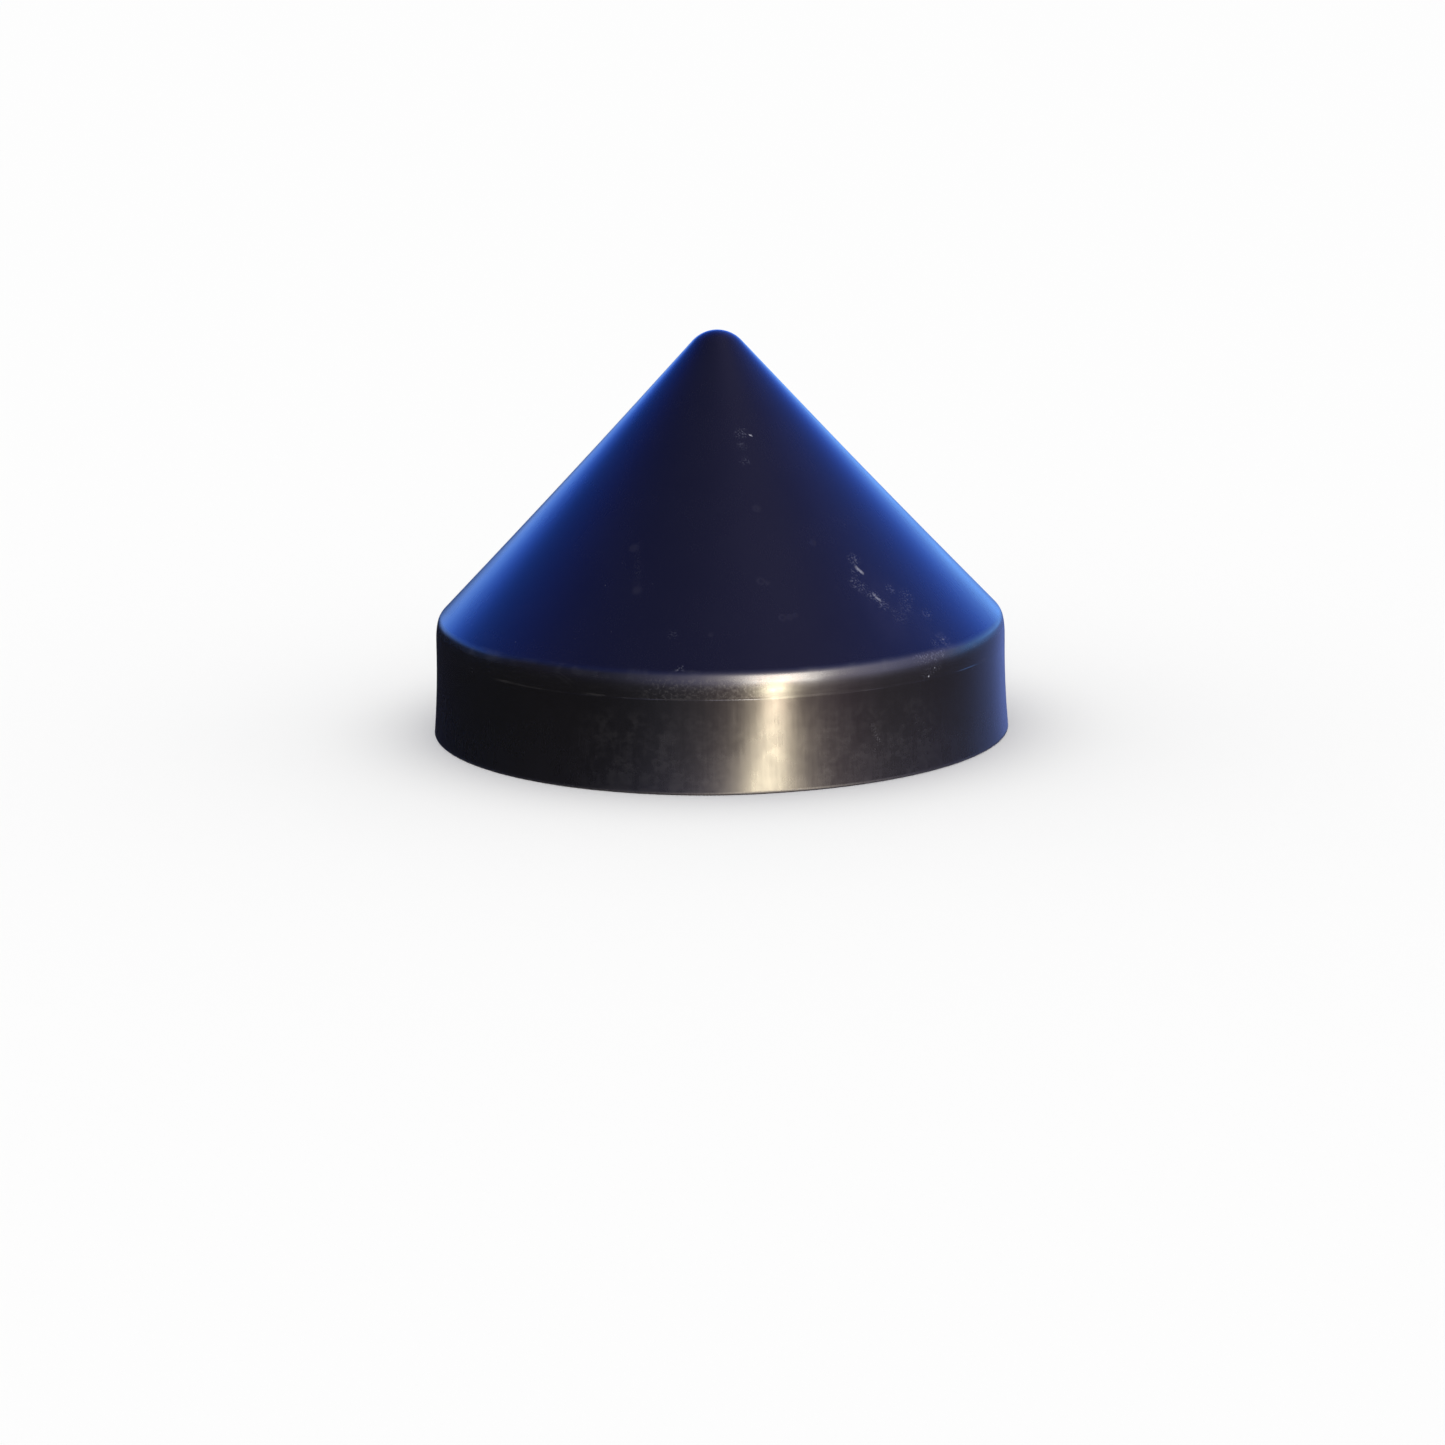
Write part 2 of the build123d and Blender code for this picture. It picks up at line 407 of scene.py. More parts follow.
# ---- node helpers ---------------------------------------------------------
class Nodes:
    def __init__(self, tree):
        self.tree = tree
        self.tree.nodes.clear()
        self.count = 0

    def new(self, kind, **props):
        n = self.tree.nodes.new(kind)
        for k, v in props.items():
            setattr(n, k, v)
        n.location = (180 * (self.count % 12), -220 * (self.count // 12))
        self.count += 1
        return n

    def put(self, socket, v):
        if isinstance(v, bpy.types.NodeSocket):
            self.tree.links.new(v, socket)
        elif v is not None:
            socket.default_value = v

    def math(self, op, a, b=None, c=None, clamp=False):
        n = self.new("ShaderNodeMath", operation=op, use_clamp=clamp)
        for s, v in zip(n.inputs, (a, b, c)):
            self.put(s, v)
        return n.outputs[0]

    def add(self, a, b):
        return self.math("ADD", a, b)

    def mul(self, a, b, clamp=False):
        return self.math("MULTIPLY", a, b, clamp=clamp)

    def vec(self, op, a, b=None, scale=None):
        n = self.new("ShaderNodeVectorMath", operation=op)
        self.put(n.inputs[0], a)
        if b is not None:
            self.put(n.inputs[1], b)
        if scale is not None:
            self.put(n.inputs["Scale"], scale)
        return n.outputs["Value"] if op in ("LENGTH", "DOT_PRODUCT", "DISTANCE") else n.outputs[0]

    def xyz(self, x, y, z):
        n = self.new("ShaderNodeCombineXYZ")
        for s, v in zip(n.inputs, (x, y, z)):
            self.put(s, v)
        return n.outputs[0]

    def split(self, v):
        n = self.new("ShaderNodeSeparateXYZ")
        self.put(n.inputs[0], v)
        return n.outputs

    def step(self, v, a, b, lo=0.0, hi=1.0):
        """Smooth step of v from lo at a to hi at b."""
        n = self.new("ShaderNodeMapRange", interpolation_type="SMOOTHSTEP")
        for s, x in zip(n.inputs[:5], (v, a, b, lo, hi)):
            self.put(s, x)
        return n.outputs[0]

    def band(self, v, a, b, soft):
        """1 between a and b, falling to 0 over soft on each side."""
        return self.mul(self.step(v, a - soft, a), self.step(v, b, b + soft, 1.0, 0.0))

    def noise(self, v, scale, detail=2.0, rough=0.5, distort=0.0, colour=False):
        n = self.new("ShaderNodeTexNoise", noise_dimensions="3D")
        self.put(n.inputs["Vector"], v)
        self.put(n.inputs["Scale"], scale)
        self.put(n.inputs["Detail"], detail)
        self.put(n.inputs["Roughness"], rough)
        self.put(n.inputs["Distortion"], distort)
        return n.outputs["Color"] if colour else n.outputs["Fac"]

    def cells(self, v, scale, feature="F1", randomness=1.0):
        n = self.new("ShaderNodeTexVoronoi", feature=feature, voronoi_dimensions="3D")
        self.put(n.inputs["Vector"], v)
        self.put(n.inputs["Scale"], scale)
        self.put(n.inputs["Randomness"], randomness)
        return n

    def mix(self, f, a, b):
        n = self.new("ShaderNodeMix", data_type="FLOAT")
        self.put(n.inputs[0], f)
        self.put(n.inputs[2], a)
        self.put(n.inputs[3], b)
        return n.outputs[0]

    def blend(self, f, a, b, kind="MIX"):
        n = self.new("ShaderNodeMix", data_type="RGBA", blend_type=kind)
        self.put(n.inputs[0], f)
        self.put(n.inputs[6], a)
        self.put(n.inputs[7], b)
        return n.outputs[2]

    def ramp(self, f, stops, interpolation="LINEAR"):
        n = self.new("ShaderNodeValToRGB")
        r = n.color_ramp
        r.interpolation = interpolation
        while len(r.elements) < len(stops):
            r.elements.new(0.5)
        for e, (p, c) in zip(r.elements, stops):
            e.position = p
        for e, (p, c) in zip(r.elements, stops):
            e.color = (*c, 1.0)
        self.put(n.inputs[0], f)
        return n.outputs[0]

    def segment(self, p, a, b):
        """Distance from p to the segment a-b."""
        a, b = np.array(a, float), np.array(b, float)
        d = b - a
        rel = self.vec("SUBTRACT", p, tuple(a))
        t = self.vec("DOT_PRODUCT", rel, tuple(d / (d @ d)))
        t = self.math("MAXIMUM", self.math("MINIMUM", t, 1.0), 0.0)
        foot = self.vec("SCALE", tuple(d), scale=t)
        return self.vec("LENGTH", self.vec("SUBTRACT", rel, foot))

    def spot(self, p, c):
        return self.vec("DISTANCE", p, tuple(c))

    def largest(self, items):
        out = items[0]
        for i in items[1:]:
            out = self.math("MAXIMUM", out, i)
        return out

    def total(self, items):
        out = items[0]
        for i in items[1:]:
            out = self.add(out, i)
        return out


def new_material(name):
    mat = bpy.data.materials.new(name)
    mat.use_nodes = True
    n = Nodes(mat.node_tree)
    out = n.new("ShaderNodeOutputMaterial")
    bsdf = n.new("ShaderNodeBsdfPrincipled")
    mat.node_tree.links.new(bsdf.outputs[0], out.inputs[0])
    return mat, n, bsdf


def at(az, z):
    """The point on the outside of the cap at this azimuth (0 in front, 90 at the right) and height, in mm."""
    r = skirt_r(z) if z < EAVE_Z else (APEX_Z - z) * TAN - 0.5
    a = math.radians(az)
    return r * math.sin(a), -r * math.cos(a), z


# ---- black HDPE: glossy in a soft way, formed from sheet, with yard wear --------
def black_hdpe():
    mat, n, bsdf = new_material("black_hdpe_formed")
    p = n.vec("SCALE", n.new("ShaderNodeTexCoord").outputs["Object"], scale=1000.0)   # mm
    x, y, z = n.split(p)
    flat = n.xyz(x, y, 0.0)
    r = n.math("MAXIMUM", n.vec("LENGTH", flat), 2.0)
    cx, sy = n.math("DIVIDE", x, r), n.math("DIVIDE", y, r)
    attr = n.new("ShaderNodeAttribute", attribute_name="inner_side", attribute_type="GEOMETRY")
    inner = attr.outputs["Fac"]
    outer = n.math("SUBTRACT", 1.0, inner)

    # zones by height
    rim = n.step(z, 1.6, 0.5)
    line = n.band(z, 41.0, 41.7, 0.25)
    strip = n.band(z, 42.1, 47.6, 0.8)
    eave = n.band(z, 49.6, 52.6, 1.6)
    cone = n.step(z, 50.0, 54.0)
    skirt = n.step(z, 47.0, 40.0)

    # broad mottling of the sheet, fine grain, and drag streaks that run with the draw
    mottle = n.noise(p, 0.030, 3.0, 0.55)
    patch = n.noise(p, 0.085, 4.0, 0.6, 0.6)
    peel = n.noise(p, 0.42, 2.0, 0.5)
    grain = n.noise(p, 2.6, 2.0, 0.6)
    streak_wide = n.noise(n.xyz(n.mul(cx, 34.0), n.mul(sy, 34.0), n.mul(z, 0.018)), 1.0, 3.0, 0.6)
    streak_fine = n.noise(n.xyz(n.mul(cx, 150.0), n.mul(sy, 150.0), n.mul(z, 0.05)), 1.0, 2.0, 0.6)
    rub = n.noise(n.xyz(n.mul(cx, 9.0), n.mul(sy, 9.0), n.mul(z, 0.9)), 1.0, 4.0, 0.62)

    # handling scuffs: cloudy patches on the skirt, crossed by fine lines, and a blotchy stretch under the eave
    az = n.math("ARCTAN2", x, n.mul(y, -1.0))
    cloud = n.noise(p, 0.13, 4.0, 0.62, 0.8)
    swell = n.noise(p, 0.15, 1.2, 0.42, 0.3)
    calm = n.mul(n.step(z, 47.0, 40.0), n.band(az, math.radians(3), math.radians(16), 0.07))   # a smoother stretch
    cloud = n.mix(calm, cloud, swell)
    cross = n.noise(n.xyz(n.mul(az, 34.0), 0.0, n.mul(z, 0.42)), 1.0, 1.5, 0.55)
    uprights = n.noise(n.xyz(n.mul(az, 105.0), 0.0, n.mul(z, 0.07)), 1.0, 2.0, 0.6)
    scuffed = n.mul(n.band(z, 3.0, 30.0, 8.0), n.band(az, math.radians(-20), math.radians(40), 0.20))
    scuffed = n.mul(scuffed, n.math("SUBTRACT", 1.0, calm))
    blotchy = n.mul(n.band(z, 41.5, 49.0, 1.5), n.band(az, math.radians(-11), math.radians(6), 0.12))
    blots = n.noise(p, 0.75, 3.0, 0.65)

    # ragged coordinates for wear marks
    warp = n.vec("SUBTRACT", n.noise(p, 0.55, 3.0, 0.6, colour=True), (0.5, 0.5, 0.5))
    wp = n.vec("ADD", p, n.vec("SCALE", warp, scale=3.2))
    warp2 = n.vec("SUBTRACT", n.noise(p, 1.6, 2.0, 0.6, colour=True), (0.5, 0.5, 0.5))
    wq = n.vec("ADD", p, n.vec("SCALE", warp2, scale=1.1))

    def mark(d, core, edge, strength):
        """A mark that is solid to core and gone at edge, mm from its line."""
        return n.mul(n.step(d, core, edge, 1.0, 0.0), strength)

    # two nicks low on the right of the cone, and the broken skin round them
    speck = n.noise(p, 1.15, 1.0, 0.5)
    nicks = n.largest([
        n.mul(mark(n.segment(wq, at(38.2, 86.9), at(39.2, 84.4)), 0.0, 1.15, 0.34), n.step(speck, 0.34, 0.56, 0.45, 1.0)),
        n.mul(mark(n.segment(wq, at(38.9, 76.2), at(39.6, 73.6)), 0.0, 1.25, 0.24), n.step(speck, 0.38, 0.60, 0.3, 1.0)),
        n.mul(mark(n.segment(wq, at(38.7, 90.4), at(39.1, 89.3)), 0.0, 0.70, 0.12), n.step(grain, 0.40, 0.60)),
    ])
    near = n.largest([mark(n.spot(wp, at(a, h)), 0.25 * size, size, k) for a, h, size, k in (
        (38.9, 89.8, 4.4, 0.75), (37.6, 85.6, 3.4, 0.50), (35.4, 81.0, 4.2, 0.75), (36.8, 79.0, 4.0, 0.85),
        (38.4, 75.4, 4.4, 1.0), (39.8, 72.0, 3.8, 1.0), (44.6, 77.0, 3.6, 0.55), (48.4, 73.4, 5.5, 0.42),
        (46.0, 70.0, 5.5, 0.35), (50.9, 65.4, 4.6, 0.34), (42.6, 67.0, 6.0, 0.30), (50.2, 55.4, 5.0, 0.60),
        (47.6, 54.4, 3.6, 0.40), (13.3, 141.4, 3.8, 0.80), (12.3, 136.4, 3.0, 0.32), (12.1, 130.6, 3.4, 0.36),
        (-7.6, 53.4, 2.6, 0.70), (-10.0, 66.0, 3.6, 0.18),
    )] + [
        mark(n.segment(wp, at(40.6, 50.8), at(48.0, 50.8)), 0.4, 3.4, 0.95),
        mark(n.segment(wp, at(42.6, 43.6), at(46.4, 45.8)), 0.4, 3.0, 0.30),
    ])
    broken = n.mul(near, n.step(speck, 0.47, 0.74))
    # a scuffed patch near the nicks whose lighter bluish tone is a painted sheen of sky reflection
    scuff_and_sheen = n.mul(n.step(patch, 0.40, 0.62, 0.5, 1.0), n.largest([
        mark(n.segment(wp, at(39.4, 80.0), at(39.2, 64.0)), 2.0, 14.0, 0.8),
        mark(n.segment(wp, at(44.0, 76.0), at(47.0, 60.0)), 2.0, 12.0, 0.6),
    ]))

    # single bright specks
    specks = n.largest([
        mark(n.segment(wq, at(18.1, 140.4), at(18.8, 140.1)), 0.0, 0.60, 0.75),
        mark(n.spot(wq, at(43.6, 42.3)), 0.10, 0.62, 0.75),
        mark(n.spot(wq, at(45.3, 45.4)), 0.0, 0.5, 0.40),
        mark(n.spot(wq, at(48.4, 50.2)), 0.0, 0.9, 0.45),
        mark(n.spot(wq, at(50.2, 55.4)), 0.0, 0.8, 0.25),
        mark(n.spot(wq, at(-8.2, 53.2)), 0.0, 0.5, 0.35),
    ])

    # faint smears
    smear_grain = n.step(n.noise(p, 1.9, 2.0, 0.6), 0.50, 0.66)
    smears = n.mul(smear_grain, n.total([
        mark(n.segment(wp, at(29.6, 25.5), at(30.9, 19.0)), 0.3, 2.2, 0.7),
        mark(n.segment(wp, at(30.9, 19.0), at(30.0, 10.5)), 0.3, 2.2, 0.5),
        mark(n.segment(wp, at(-24.5, 98.0), at(-20.5, 81.0)), 0.3, 2.4, 0.13),
    ]))

    # shallow pocks in the cone: distance inside each, 0 to 1
    pocks = n.largest([mark(n.spot(wq, at(a, h)), 0.2 * size, size, k) for a, h, size, k in (
        (13.9, 71.4, 2.2, 1.0), (15.6, 71.4, 1.8, 0.9), (17.0, 72.0, 1.5, 0.9), (10.4, 85.2, 2.4, 1.0),
        (12.0, 84.4, 1.4, 0.7), (13.3, 112.3, 2.4, 0.8), (28.4, 98.0, 2.0, 0.8), (-25.4, 97.0, 3.0, 0.4),
        (-20.6, 81.6, 3.0, 0.4), (-2.0, 66.0, 1.6, 0.4),
    )])

    # sparse dust, a little more on the slopes, and fine hairline scratches in two directions
    dust_cells = n.cells(p, 0.21)
    dust_near = n.cells(p, 0.55)
    dust = n.mul(n.step(dust_cells.outputs["Distance"], 0.060, 0.03), n.step(patch, 0.54, 0.64))
    dust2 = n.mul(n.step(dust_near.outputs["Distance"], 0.09, 0.04), n.step(n.noise(p, 0.055, 2.0), 0.64, 0.74))
    dusts = n.mul(n.math("MAXIMUM", n.mul(dust, 0.5), n.mul(dust2, 0.3)), n.math("SUBTRACT", 1.0, n.mul(skirt, 0.9)))

    def hairlines(direction, across, seed, keep):
        q = n.xyz(n.vec("DOT_PRODUCT", p, across), n.mul(n.vec("DOT_PRODUCT", p, direction), 0.035), seed)
        c = n.cells(q, 0.23, "DISTANCE_TO_EDGE")
        part = n.step(n.noise(n.vec("ADD", p, (seed, seed * 2, 0.0)), 0.05, 2.0), keep, keep + 0.05)
        return n.mul(n.step(c.outputs["Distance"], 0.022, 0.006), part)

    hair = n.largest([
        hairlines((0.55, -0.2, -0.81), (0.62, 0.75, 0.23), 3.0, 0.68),
        hairlines((-0.35, 0.3, -0.89), (0.75, -0.6, 0.28), 11.0, 0.69),
    ])
    hair = n.mul(n.mul(hair, n.step(grain, 0.35, 0.6)), n.math("SUBTRACT", 1.0, n.mul(skirt, 0.8)))

    # dust and a painted highlight in the witness line where its lip catches light, rubbing on the strip above it and
    # along the eave, saw marks on the rim
    stretch = n.noise(n.xyz(n.mul(cx, 2.6), n.mul(sy, 2.6), 4.0), 1.0, 2.0, 0.5)
    line_dust_and_highlight = n.mul(n.mul(line, outer), n.mul(n.step(rub, 0.40, 0.66), n.step(stretch, 0.50, 0.62)))
    strip_rub = n.mul(n.mul(strip, outer), n.step(rub, 0.42, 0.75))
    eave_rub = n.mul(n.mul(eave, outer), n.mul(n.step(patch, 0.48, 0.66), n.step(grain, 0.35, 0.65)))
    saw = n.noise(n.xyz(n.mul(cx, 260.0), n.mul(sy, 260.0), n.mul(r, 0.25)), 1.0, 3.0, 0.65)

    # ---- colour
    base = n.blend(mottle, (0.0036, 0.0036, 0.0046, 1), (0.0052, 0.0051, 0.0062, 1))
    base = n.blend(n.mul(strip_rub, 0.10), base, (0.022, 0.021, 0.022, 1))
    # the witness line lightened in patches: dust, and a painted highlight of its lip catching light
    base = n.blend(n.mul(line_dust_and_highlight, 0.45), base, (0.045, 0.042, 0.040, 1))
    base = n.blend(n.mul(scuffed, n.step(n.mul(cloud, n.add(cross, 0.55)), 0.46, 0.70)), base, (0.011, 0.0105, 0.0115, 1))
    base = n.blend(n.mul(scuffed, n.mul(n.step(uprights, 0.58, 0.74), 0.5)), base, (0.013, 0.012, 0.013, 1))
    base = n.blend(n.mul(blotchy, n.mul(n.step(blots, 0.50, 0.64), 0.8)), base, (0.026, 0.025, 0.025, 1))
    # painted bluish sheen of sky reflection over the scuffed patch near the nicks
    base = n.blend(n.mul(scuff_and_sheen, 0.55), base, (0.0135, 0.0125, 0.0190, 1))
    base = n.blend(n.mul(eave_rub, 0.30), base, (0.050, 0.050, 0.055, 1))
    base = n.blend(n.mul(smears, 0.19), base, (0.32, 0.32, 0.34, 1))
    base = n.blend(n.mul(hair, 0.035), base, (0.22, 0.22, 0.25, 1))
    base = n.blend(n.mul(dusts, 0.35), base, (0.30, 0.29, 0.28, 1))
    base = n.blend(n.mul(broken, 0.36), base, (0.30, 0.31, 0.40, 1))
    ringed = n.mul(n.mul(pocks, n.math("SUBTRACT", 1.0, pocks)), 4.0)
    base = n.blend(n.mul(ringed, 0.55), base, (0.017, 0.016, 0.020, 1))
    base = n.blend(n.largest([nicks, specks]), base, (0.80, 0.80, 0.90, 1))
    base = n.blend(n.mul(n.mul(rim, n.step(saw, 0.35, 0.75)), 0.5), base, (0.045, 0.044, 0.044, 1))
    base = n.blend(n.mul(inner, 0.5), base, (0.018, 0.018, 0.019, 1))
    n.put(bsdf.inputs["Base Color"], base)

    # ---- roughness
    low_skirt = n.math("DIVIDE", n.math("SUBTRACT", 38.0, z), 34.0, clamp=True)
    rough = n.mix(cone, n.add(0.222, n.mul(low_skirt, 0.063)), 0.27)
    rough = n.add(rough, n.mul(n.math("SUBTRACT", mottle, 0.5), 0.10))
    rough = n.add(rough, n.mul(n.math("SUBTRACT", streak_wide, 0.5), n.mix(cone, 0.05, 0.02)))
    rough = n.add(rough, n.mul(n.math("SUBTRACT", streak_fine, 0.5), n.mix(cone, 0.03, 0.008)))
    rough = n.add(rough, n.mul(strip_rub, 0.02))
    rough = n.add(rough, n.mul(n.mul(skirt, n.math("SUBTRACT", cloud, 0.5)), 0.09))
    rough = n.add(rough, n.mul(n.mul(scuffed, n.math("SUBTRACT", cross, 0.5)), 0.06))
    rough = n.add(rough, n.mul(n.mul(skirt, n.math("SUBTRACT", uprights, 0.5)), 0.05))
    rough = n.add(rough, n.mul(n.mul(blotchy, n.math("SUBTRACT", blots, 0.5)), 0.22))
    rough = n.add(rough, n.mul(strip, 0.01))
    rough = n.add(rough, n.mul(line, 0.02))
    rough = n.add(rough, n.mul(eave, 0.06))
    rough = n.add(rough, n.mul(eave_rub, 0.06))
    rough = n.add(rough, n.mul(n.largest([nicks, specks, n.mul(smears, 0.5), n.mul(broken, 0.3), dusts]), 0.30))
    rough = n.mix(inner, rough, n.add(0.40, n.mul(n.math("SUBTRACT", patch, 0.5), 0.2)))
    rough = n.mix(rim, rough, n.add(0.42, n.mul(saw, 0.2)))
    n.put(bsdf.inputs["Roughness"], rough)

    # ---- relief, in mm
    height = n.total([
        n.mul(peel, 0.0012),
        n.mul(grain, 0.0005),
        n.mul(streak_wide, n.mix(cone, 0.012, 0.0025)),
        n.mul(streak_fine, n.mix(cone, 0.0004, 0.0001)),
        n.mul(n.mul(strip, rub), 0.002),
        n.mul(n.mul(n.step(z, 38.0, 24.0), swell), 0.036),
        n.mul(n.mul(scuffed, cross), 0.003),
        n.mul(pocks, -0.07),
        n.mul(n.mul(rim, saw), 0.10),
        n.mul(nicks, -0.06),
        n.mul(specks, 0.08),
        n.mul(n.mul(near, speck), 0.016),
        n.mul(hair, -0.004),
        n.mul(dusts, 0.02),
        n.mul(n.mul(inner, patch), 0.06),
    ])
    bump = n.new("ShaderNodeBump")
    bump.inputs["Strength"].default_value = 1.0
    bump.inputs["Distance"].default_value = MM
    n.put(bump.inputs["Height"], height)
    n.put(bsdf.inputs["Normal"], bump.outputs[0])
    bsdf.inputs["IOR"].default_value = 1.5
    bsdf.inputs["Metallic"].default_value = 0.0
    return mat


def sealant():
    mat, n, bsdf = new_material("adhesive_sealant")
    p = n.vec("SCALE", n.new("ShaderNodeTexCoord").outputs["Object"], scale=1000.0)
    broad = n.noise(p, 0.06, 3.0, 0.6)
    skin = n.noise(p, 0.9, 3.0, 0.6)
    pores = n.cells(p, 0.8)
    pore = n.step(pores.outputs["Distance"], 0.24, 0.10)
    base = n.blend(broad, (0.090, 0.086, 0.076, 1), (0.125, 0.118, 0.104, 1))
    base = n.blend(n.mul(pore, 0.5), base, (0.045, 0.042, 0.036, 1))
    n.put(bsdf.inputs["Base Color"], base)
    n.put(bsdf.inputs["Roughness"], n.mix(skin, 0.42, 0.62))
    bump = n.new("ShaderNodeBump")
    bump.inputs["Strength"].default_value = 1.0
    bump.inputs["Distance"].default_value = MM
    n.put(bump.inputs["Height"], n.total([n.mul(skin, 0.22), n.mul(broad, 0.5), n.mul(pore, -0.12)]))
    n.put(bsdf.inputs["Normal"], bump.outputs[0])
    bsdf.inputs["IOR"].default_value = 1.42
    return mat


# ---- the pieces -----------------------------------------------------------
hdpe = black_hdpe()
sealant_mat = sealant()

shell = make_shell()
shell.data.materials.append(hdpe)
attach(shell, "root")
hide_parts("cap_shell")

bead = make_bead()
bead.data.materials.append(sealant_mat)
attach(bead, "root")
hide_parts("sealant_bead")

for name, mat in (("cap_shell", hdpe), ("sealant_bead", sealant_mat)):
    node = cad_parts[name]
    node.data.materials.clear()
    node.data.materials.append(mat)


# ---- floor ------------------------------------------------------------------
PALE = 0.985


def make_floor():
    s = 60.0
    mesh = bpy.data.meshes.new("floor")
    mesh.from_pydata([(-s, -s, 0), (s, -s, 0), (s, s, 0), (-s, s, 0)], [], [(0, 1, 2, 3)])
    obj = bpy.data.objects.new("floor", mesh)
    obj.location.z = -0.00002
    scene.collection.objects.link(obj)
    mat = bpy.data.materials.new("floor_pale")
    mat.use_nodes = True
    n = Nodes(mat.node_tree)
    out = n.new("ShaderNodeOutputMaterial")
    matt = n.new("ShaderNodeBsdfDiffuse")
    matt.inputs["Color"].default_value = (PALE, PALE, PALE, 1)
    clear = n.new("ShaderNodeBsdfTransparent")
    both = n.new("ShaderNodeMixShader")
    n.put(both.inputs[0], n.new("ShaderNodeNewGeometry").outputs["Backfacing"])   # open from below
    n.put(both.inputs[1], matt.outputs[0])
    n.put(both.inputs[2], clear.outputs[0])
    n.put(out.inputs[0], both.outputs[0])
    mesh.materials.append(mat)
    obj.visible_glossy = False
    return obj


floor = make_floor()


# ---- light -------------------------------------------------------------------
def ramp_by_elevation(stops):
    return [(math.sin(math.radians(e)) if e > 0 else 0.0, tuple(c / 3.0 for c in rgb)) for e, rgb in stops]


SKY_LEFT = [   # elevation, behind and to the left
    (0, (0.75, 1.15, 2.20)), (8, (0.36, 0.95, 2.95)), (17, (0.09, 0.38, 2.50)), (25, (0.03, 0.17, 1.15)),
    (39, (0.03, 0.11, 0.98)), (47, (0.04, 0.08, 0.68)), (61, (0.06, 0.08, 0.49)), (75, (0.11, 0.12, 0.51)),
    (90, (0.15, 0.16, 0.61)),
]
SKY_RIGHT = [   # elevation, behind and to the right
    (0, (0.74, 2.02, 5.04)), (5, (0.46, 1.02, 2.40)), (14, (0.22, 0.63, 2.90)), (22, (0.13, 0.36, 2.10)),
    (36, (0.14, 0.27, 1.35)), (44, (0.18, 0.27, 1.25)), (58, (0.18, 0.20, 0.82)), (70, (0.28, 0.27, 0.74)),
    (90, (0.24, 0.23, 0.85)),
]
LOW_ROUND = [   # azimuth, 0 towards the main view and 90 at its right, below the horizon
    (-180, (0.02, 0.02, 0.03)), (-140, (0.02, 0.02, 0.03)), (-100, (0.03, 0.03, 0.03)), (-60, (0.06, 0.05, 0.05)),
    (-40, (0.10, 0.09, 0.10)), (-22, (0.22, 0.21, 0.25)), (-8, (0.46, 0.40, 0.43)), (6, (0.84, 0.60, 0.60)),
    (20, (1.15, 0.82, 0.82)), (36, (1.00, 0.70, 0.76)), (50, (0.58, 0.41, 0.49)), (68, (0.36, 0.31, 0.34)),
    (90, (0.25, 0.21, 0.26)), (110, (0.19, 0.18, 0.26)), (140, (0.21, 0.28, 0.68)), (158, (0.27, 0.38, 1.00)),
    (180, (0.06, 0.08, 0.16)),
]
NEAR_HORIZON = [   # azimuth, in front and at the sides, from the horizon up to about 20 degrees
    (-180, (0.24, 0.57, 1.74)), (-105, (0.12, 0.12, 0.30)), (-85, (0.10, 0.08, 0.10)), (-61, (0.13, 0.12, 0.25)),
    (-40, (0.28, 0.29, 0.48)), (-15, (1.24, 1.20, 2.10)), (10, (3.75, 3.38, 4.10)), (40, (3.60, 3.15, 3.75)),
    (66, (2.67, 2.60, 3.86)), (80, (1.48, 1.53, 2.70)), (92, (1.42, 1.35, 2.40)), (106, (1.60, 1.20, 1.20)),
    (180, (0.41, 0.90, 2.28)),
]


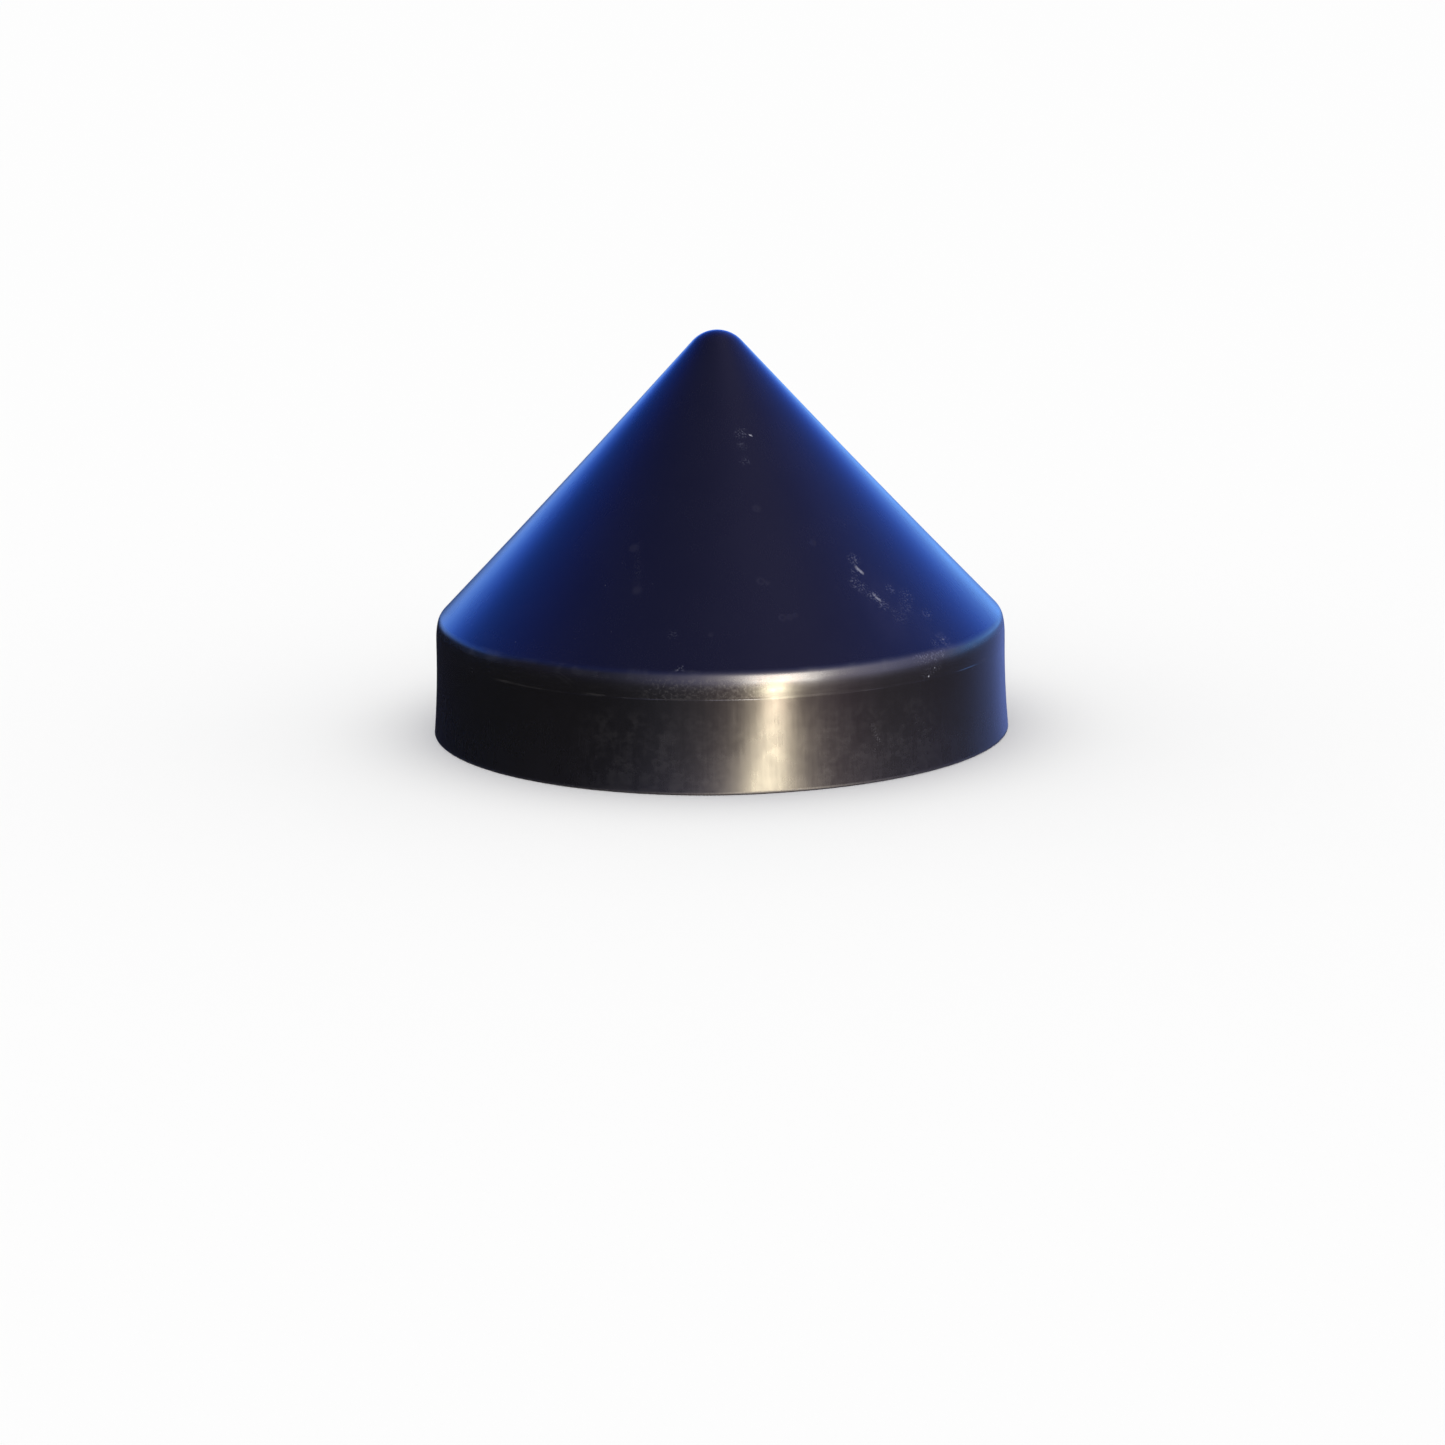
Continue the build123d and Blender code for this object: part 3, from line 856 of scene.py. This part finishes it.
def make_world():
    world = bpy.data.worlds.new("studio")
    scene.world = world
    world.use_nodes = True
    n = Nodes(world.node_tree)
    out = n.new("ShaderNodeOutputWorld")
    x, y, z = n.split(n.new("ShaderNodeTexCoord").outputs["Generated"])
    left = n.ramp(z, ramp_by_elevation(SKY_LEFT))
    right = n.ramp(z, ramp_by_elevation(SKY_RIGHT))
    sky = n.blend(n.step(x, -0.15, 0.35), left, right)
    az = n.math("ARCTAN2", x, n.mul(y, -1.0))
    turn = n.math("MULTIPLY_ADD", az, 1 / (2 * math.pi), 0.5)
    around = n.math("ABSOLUTE", az)
    front = n.ramp(turn, [((a + 180) / 360.0, tuple(c / 8.0 for c in rgb)) for a, rgb in NEAR_HORIZON])
    front = n.vec("SCALE", front, scale=8.0 / 3.0)
    ahead = n.mul(n.step(around, math.radians(92), math.radians(116), 1.0, 0.0), n.step(z, 0.22, 0.70, 1.0, 0.0))
    sky = n.blend(ahead, sky, front)
    low = n.ramp(turn, [((a + 180) / 360.0, tuple(c / 3.0 for c in rgb)) for a, rgb in LOW_ROUND])
    # a dark stand of something far off, low down behind and to the left
    shade = n.mul(n.band(az, math.radians(-141), math.radians(-98), 0.12), n.step(z, 0.08, 0.22, 1.0, 0.0))
    sky = n.blend(n.mul(shade, 0.9), sky, (0.012, 0.012, 0.018, 1))
    rise = n.mix(n.step(x, -0.30, 0.10), n.step(z, -0.035, 0.075), n.step(z, -0.08, 0.06))
    both = n.blend(rise, low, sky)
    gloss = n.new("ShaderNodeBackground")
    n.put(gloss.inputs["Color"], both)
    gloss.inputs["Strength"].default_value = 3.0
    plain = n.new("ShaderNodeBackground")
    plain.inputs["Color"].default_value = (1, 1, 1, 1)
    plain.inputs["Strength"].default_value = 1.0
    seen = n.new("ShaderNodeBackground")
    seen.inputs["Color"].default_value = (PALE, PALE, PALE, 1)
    seen.inputs["Strength"].default_value = 1.0
    path = n.new("ShaderNodeLightPath")
    a = n.new("ShaderNodeMixShader")
    n.put(a.inputs[0], path.outputs["Is Glossy Ray"])
    n.put(a.inputs[1], plain.outputs[0])
    n.put(a.inputs[2], gloss.outputs[0])
    b = n.new("ShaderNodeMixShader")
    n.put(b.inputs[0], path.outputs["Is Camera Ray"])
    n.put(b.inputs[1], a.outputs[0])
    n.put(b.inputs[2], seen.outputs[0])
    n.put(out.inputs[0], b.outputs[0])
    world.cycles.sampling_method = "NONE"
    return world


make_world()

lit = bpy.data.collections.new("lit_by_key")
for o in (shell, bead):
    lit.objects.link(o)


def from_angles(az, el, far):
    a, e = math.radians(az), math.radians(el)
    return Vector((math.sin(a) * math.cos(e), -math.cos(a) * math.cos(e), math.sin(e))) * far


def area(name, low, high, width, radiance, far=1.7, centre_z=0.03):
    """A strip light whose middle line runs from low to high, each (azimuth, elevation), facing the cap."""
    p = from_angles(*low, far) + Vector((0, 0, centre_z))
    q = from_angles(*high, far) + Vector((0, 0, centre_z))
    mid = (p + q) / 2
    tall = (q - p).length
    back = (mid - Vector((0, 0, centre_z))).normalized()
    up = (q - p).normalized()
    side = up.cross(back).normalized()
    back = side.cross(up).normalized()
    data = bpy.data.lights.new(name, "AREA")
    data.shape = "RECTANGLE"
    data.size, data.size_y = width, tall
    most = max(radiance)
    data.energy = most * math.pi * width * tall
    data.color = [c / most for c in radiance]
    obj = bpy.data.objects.new(name, data)
    scene.collection.objects.link(obj)
    m = Matrix((side, up, back)).transposed().to_4x4()
    m.translation = mid
    obj.matrix_world = m
    obj.visible_camera = False
    obj.visible_diffuse = False
    obj.light_linking.receiver_collection = lit
    obj.light_linking.blocker_collection = lit   # the floor neither takes this light nor stops it
    return obj


area("key_low", (20.3, -18.0), (20.5, -11.0), 0.12, (49.0, 34.0, 25.5))
area("key_middle", (20.1, -11.0), (20.3, -4.0), 0.14, (130.0, 120.0, 85.0))
area("key_high", (20.2, -4.0), (20.8, 4.0), 0.16, (49.5, 36.5, 21.5))
area("low_sun", (21.6, 4.0), (22.1, 17.0), 0.27, (29.5, 20.5, 14.5))
area("low_sun_haze", (23.1, 2.0), (23.7, 20.0), 0.84, (22.0, 21.3, 19.0))
